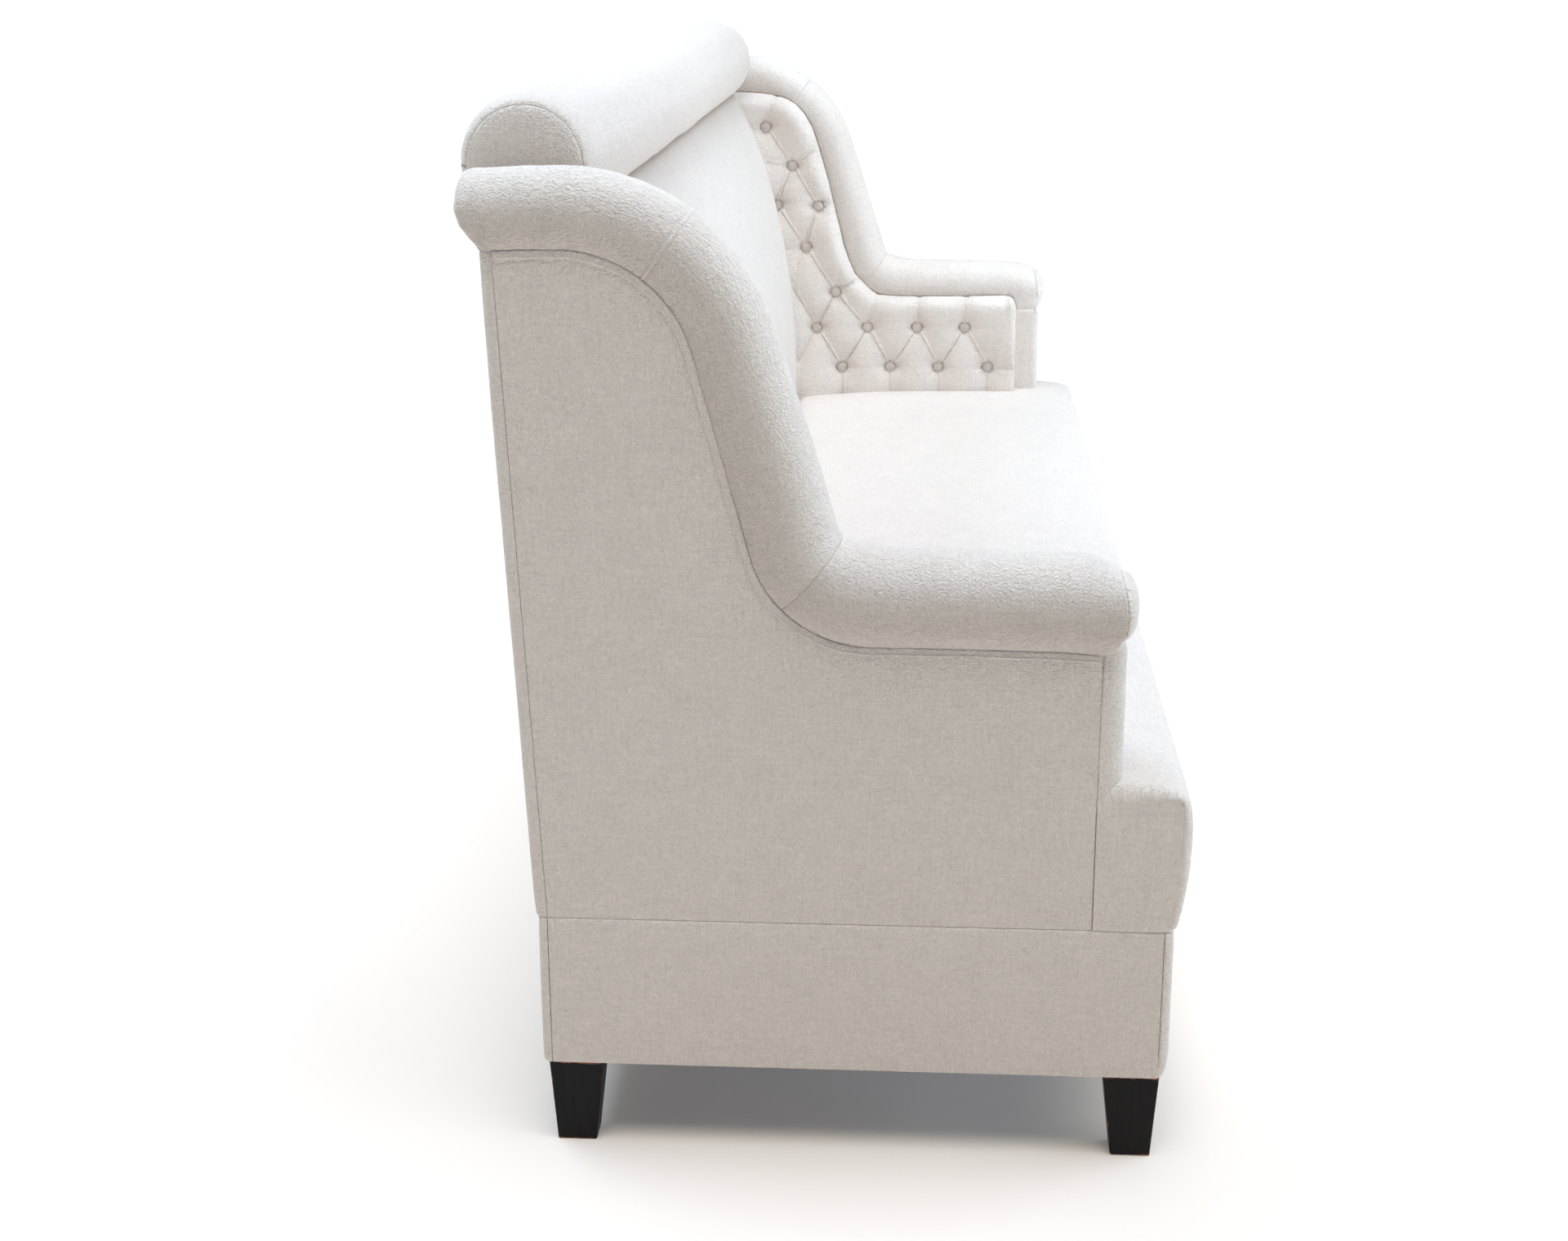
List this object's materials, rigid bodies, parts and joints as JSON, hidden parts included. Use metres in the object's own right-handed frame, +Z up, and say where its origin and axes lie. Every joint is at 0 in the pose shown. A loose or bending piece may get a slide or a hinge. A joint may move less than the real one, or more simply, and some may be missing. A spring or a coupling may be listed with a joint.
{
  "type": "high back settee",
  "caption": "High back settee with winged sides sweeping down into rolled arms, tufted inner arms, a tight seat, a round bolster along the top and tapered block legs.",
  "frame": {"origin": "on the floor under the middle of the whole object's box", "axes": "+Z up, X along the width (left end at -X as seen from the front), front facing -Y"},
  "size_m": [2.437, 0.8378, 1.236],
  "materials": {
    "linen": "off-white plain-weave linen, matt, fine slubs",
    "button_linen": "greige linen stretched over a button",
    "black_wood": "black satin lacquer rubbed through to red-brown on the edges",
    "hardwood": "sawn hardwood",
    "plywood": "birch plywood",
    "foam": "open-cell polyurethane foam",
    "webbing": "woven elastic webbing",
    "cambric": "black non-woven dust cloth",
    "glide": "dark moulded glide",
    "steel": "zinc-plated screw steel"
  },
  "bodies": {
    "root": {"leg_front_left": "black_wood", "leg_front_right": "black_wood", "leg_back_left": "black_wood", "leg_back_right": "black_wood", "leg_centre_front": "black_wood", "leg_centre_back": "black_wood", "leg_glides": "glide", "leg_bolts": "steel", "base_rail_front": "hardwood", "base_rail_back": "hardwood", "base_rail_left": "hardwood", "base_rail_right": "hardwood", "base_stretchers": "hardwood", "corner_blocks": "hardwood", "base_band_front": "linen", "base_band_back": "linen", "base_band_left": "linen", "base_band_right": "linen", "dust_cover": "cambric", "seat_webbing": "webbing", "seat_foam": "foam", "seat_cover": "linen", "back_posts": "hardwood", "back_top_rail": "hardwood", "back_cross_rails": "hardwood", "back_webbing": "webbing", "back_foam": "foam", "back_cover": "linen", "outside_back": "linen", "side_board_left": "plywood", "side_board_right": "plywood", "arm_post_left": "hardwood", "arm_post_right": "hardwood", "side_panel_left": "linen", "side_panel_right": "linen", "post_facing_left": "linen", "post_facing_right": "linen", "pad_foam_left": "foam", "pad_foam_right": "foam", "pad_cover_left": "linen", "pad_cover_right": "linen", "pad_buttons_left": "button_linen", "pad_buttons_right": "button_linen", "wing_roll_left": "linen", "wing_roll_right": "linen", "arm_roll_left": "linen", "arm_roll_right": "linen", "arm_cap_left": "linen", "arm_cap_right": "linen", "wing_cap_left": "linen", "wing_cap_right": "linen", "roll_strip_left": "hardwood", "roll_strip_right": "hardwood", "roll_welt_left": "linen", "roll_welt_right": "linen", "bolster_core": "hardwood", "bolster_foam": "foam", "bolster_cover": "linen", "bolster_ends": "linen", "bolster_bolts": "steel"}
  },
  "joints": []
}
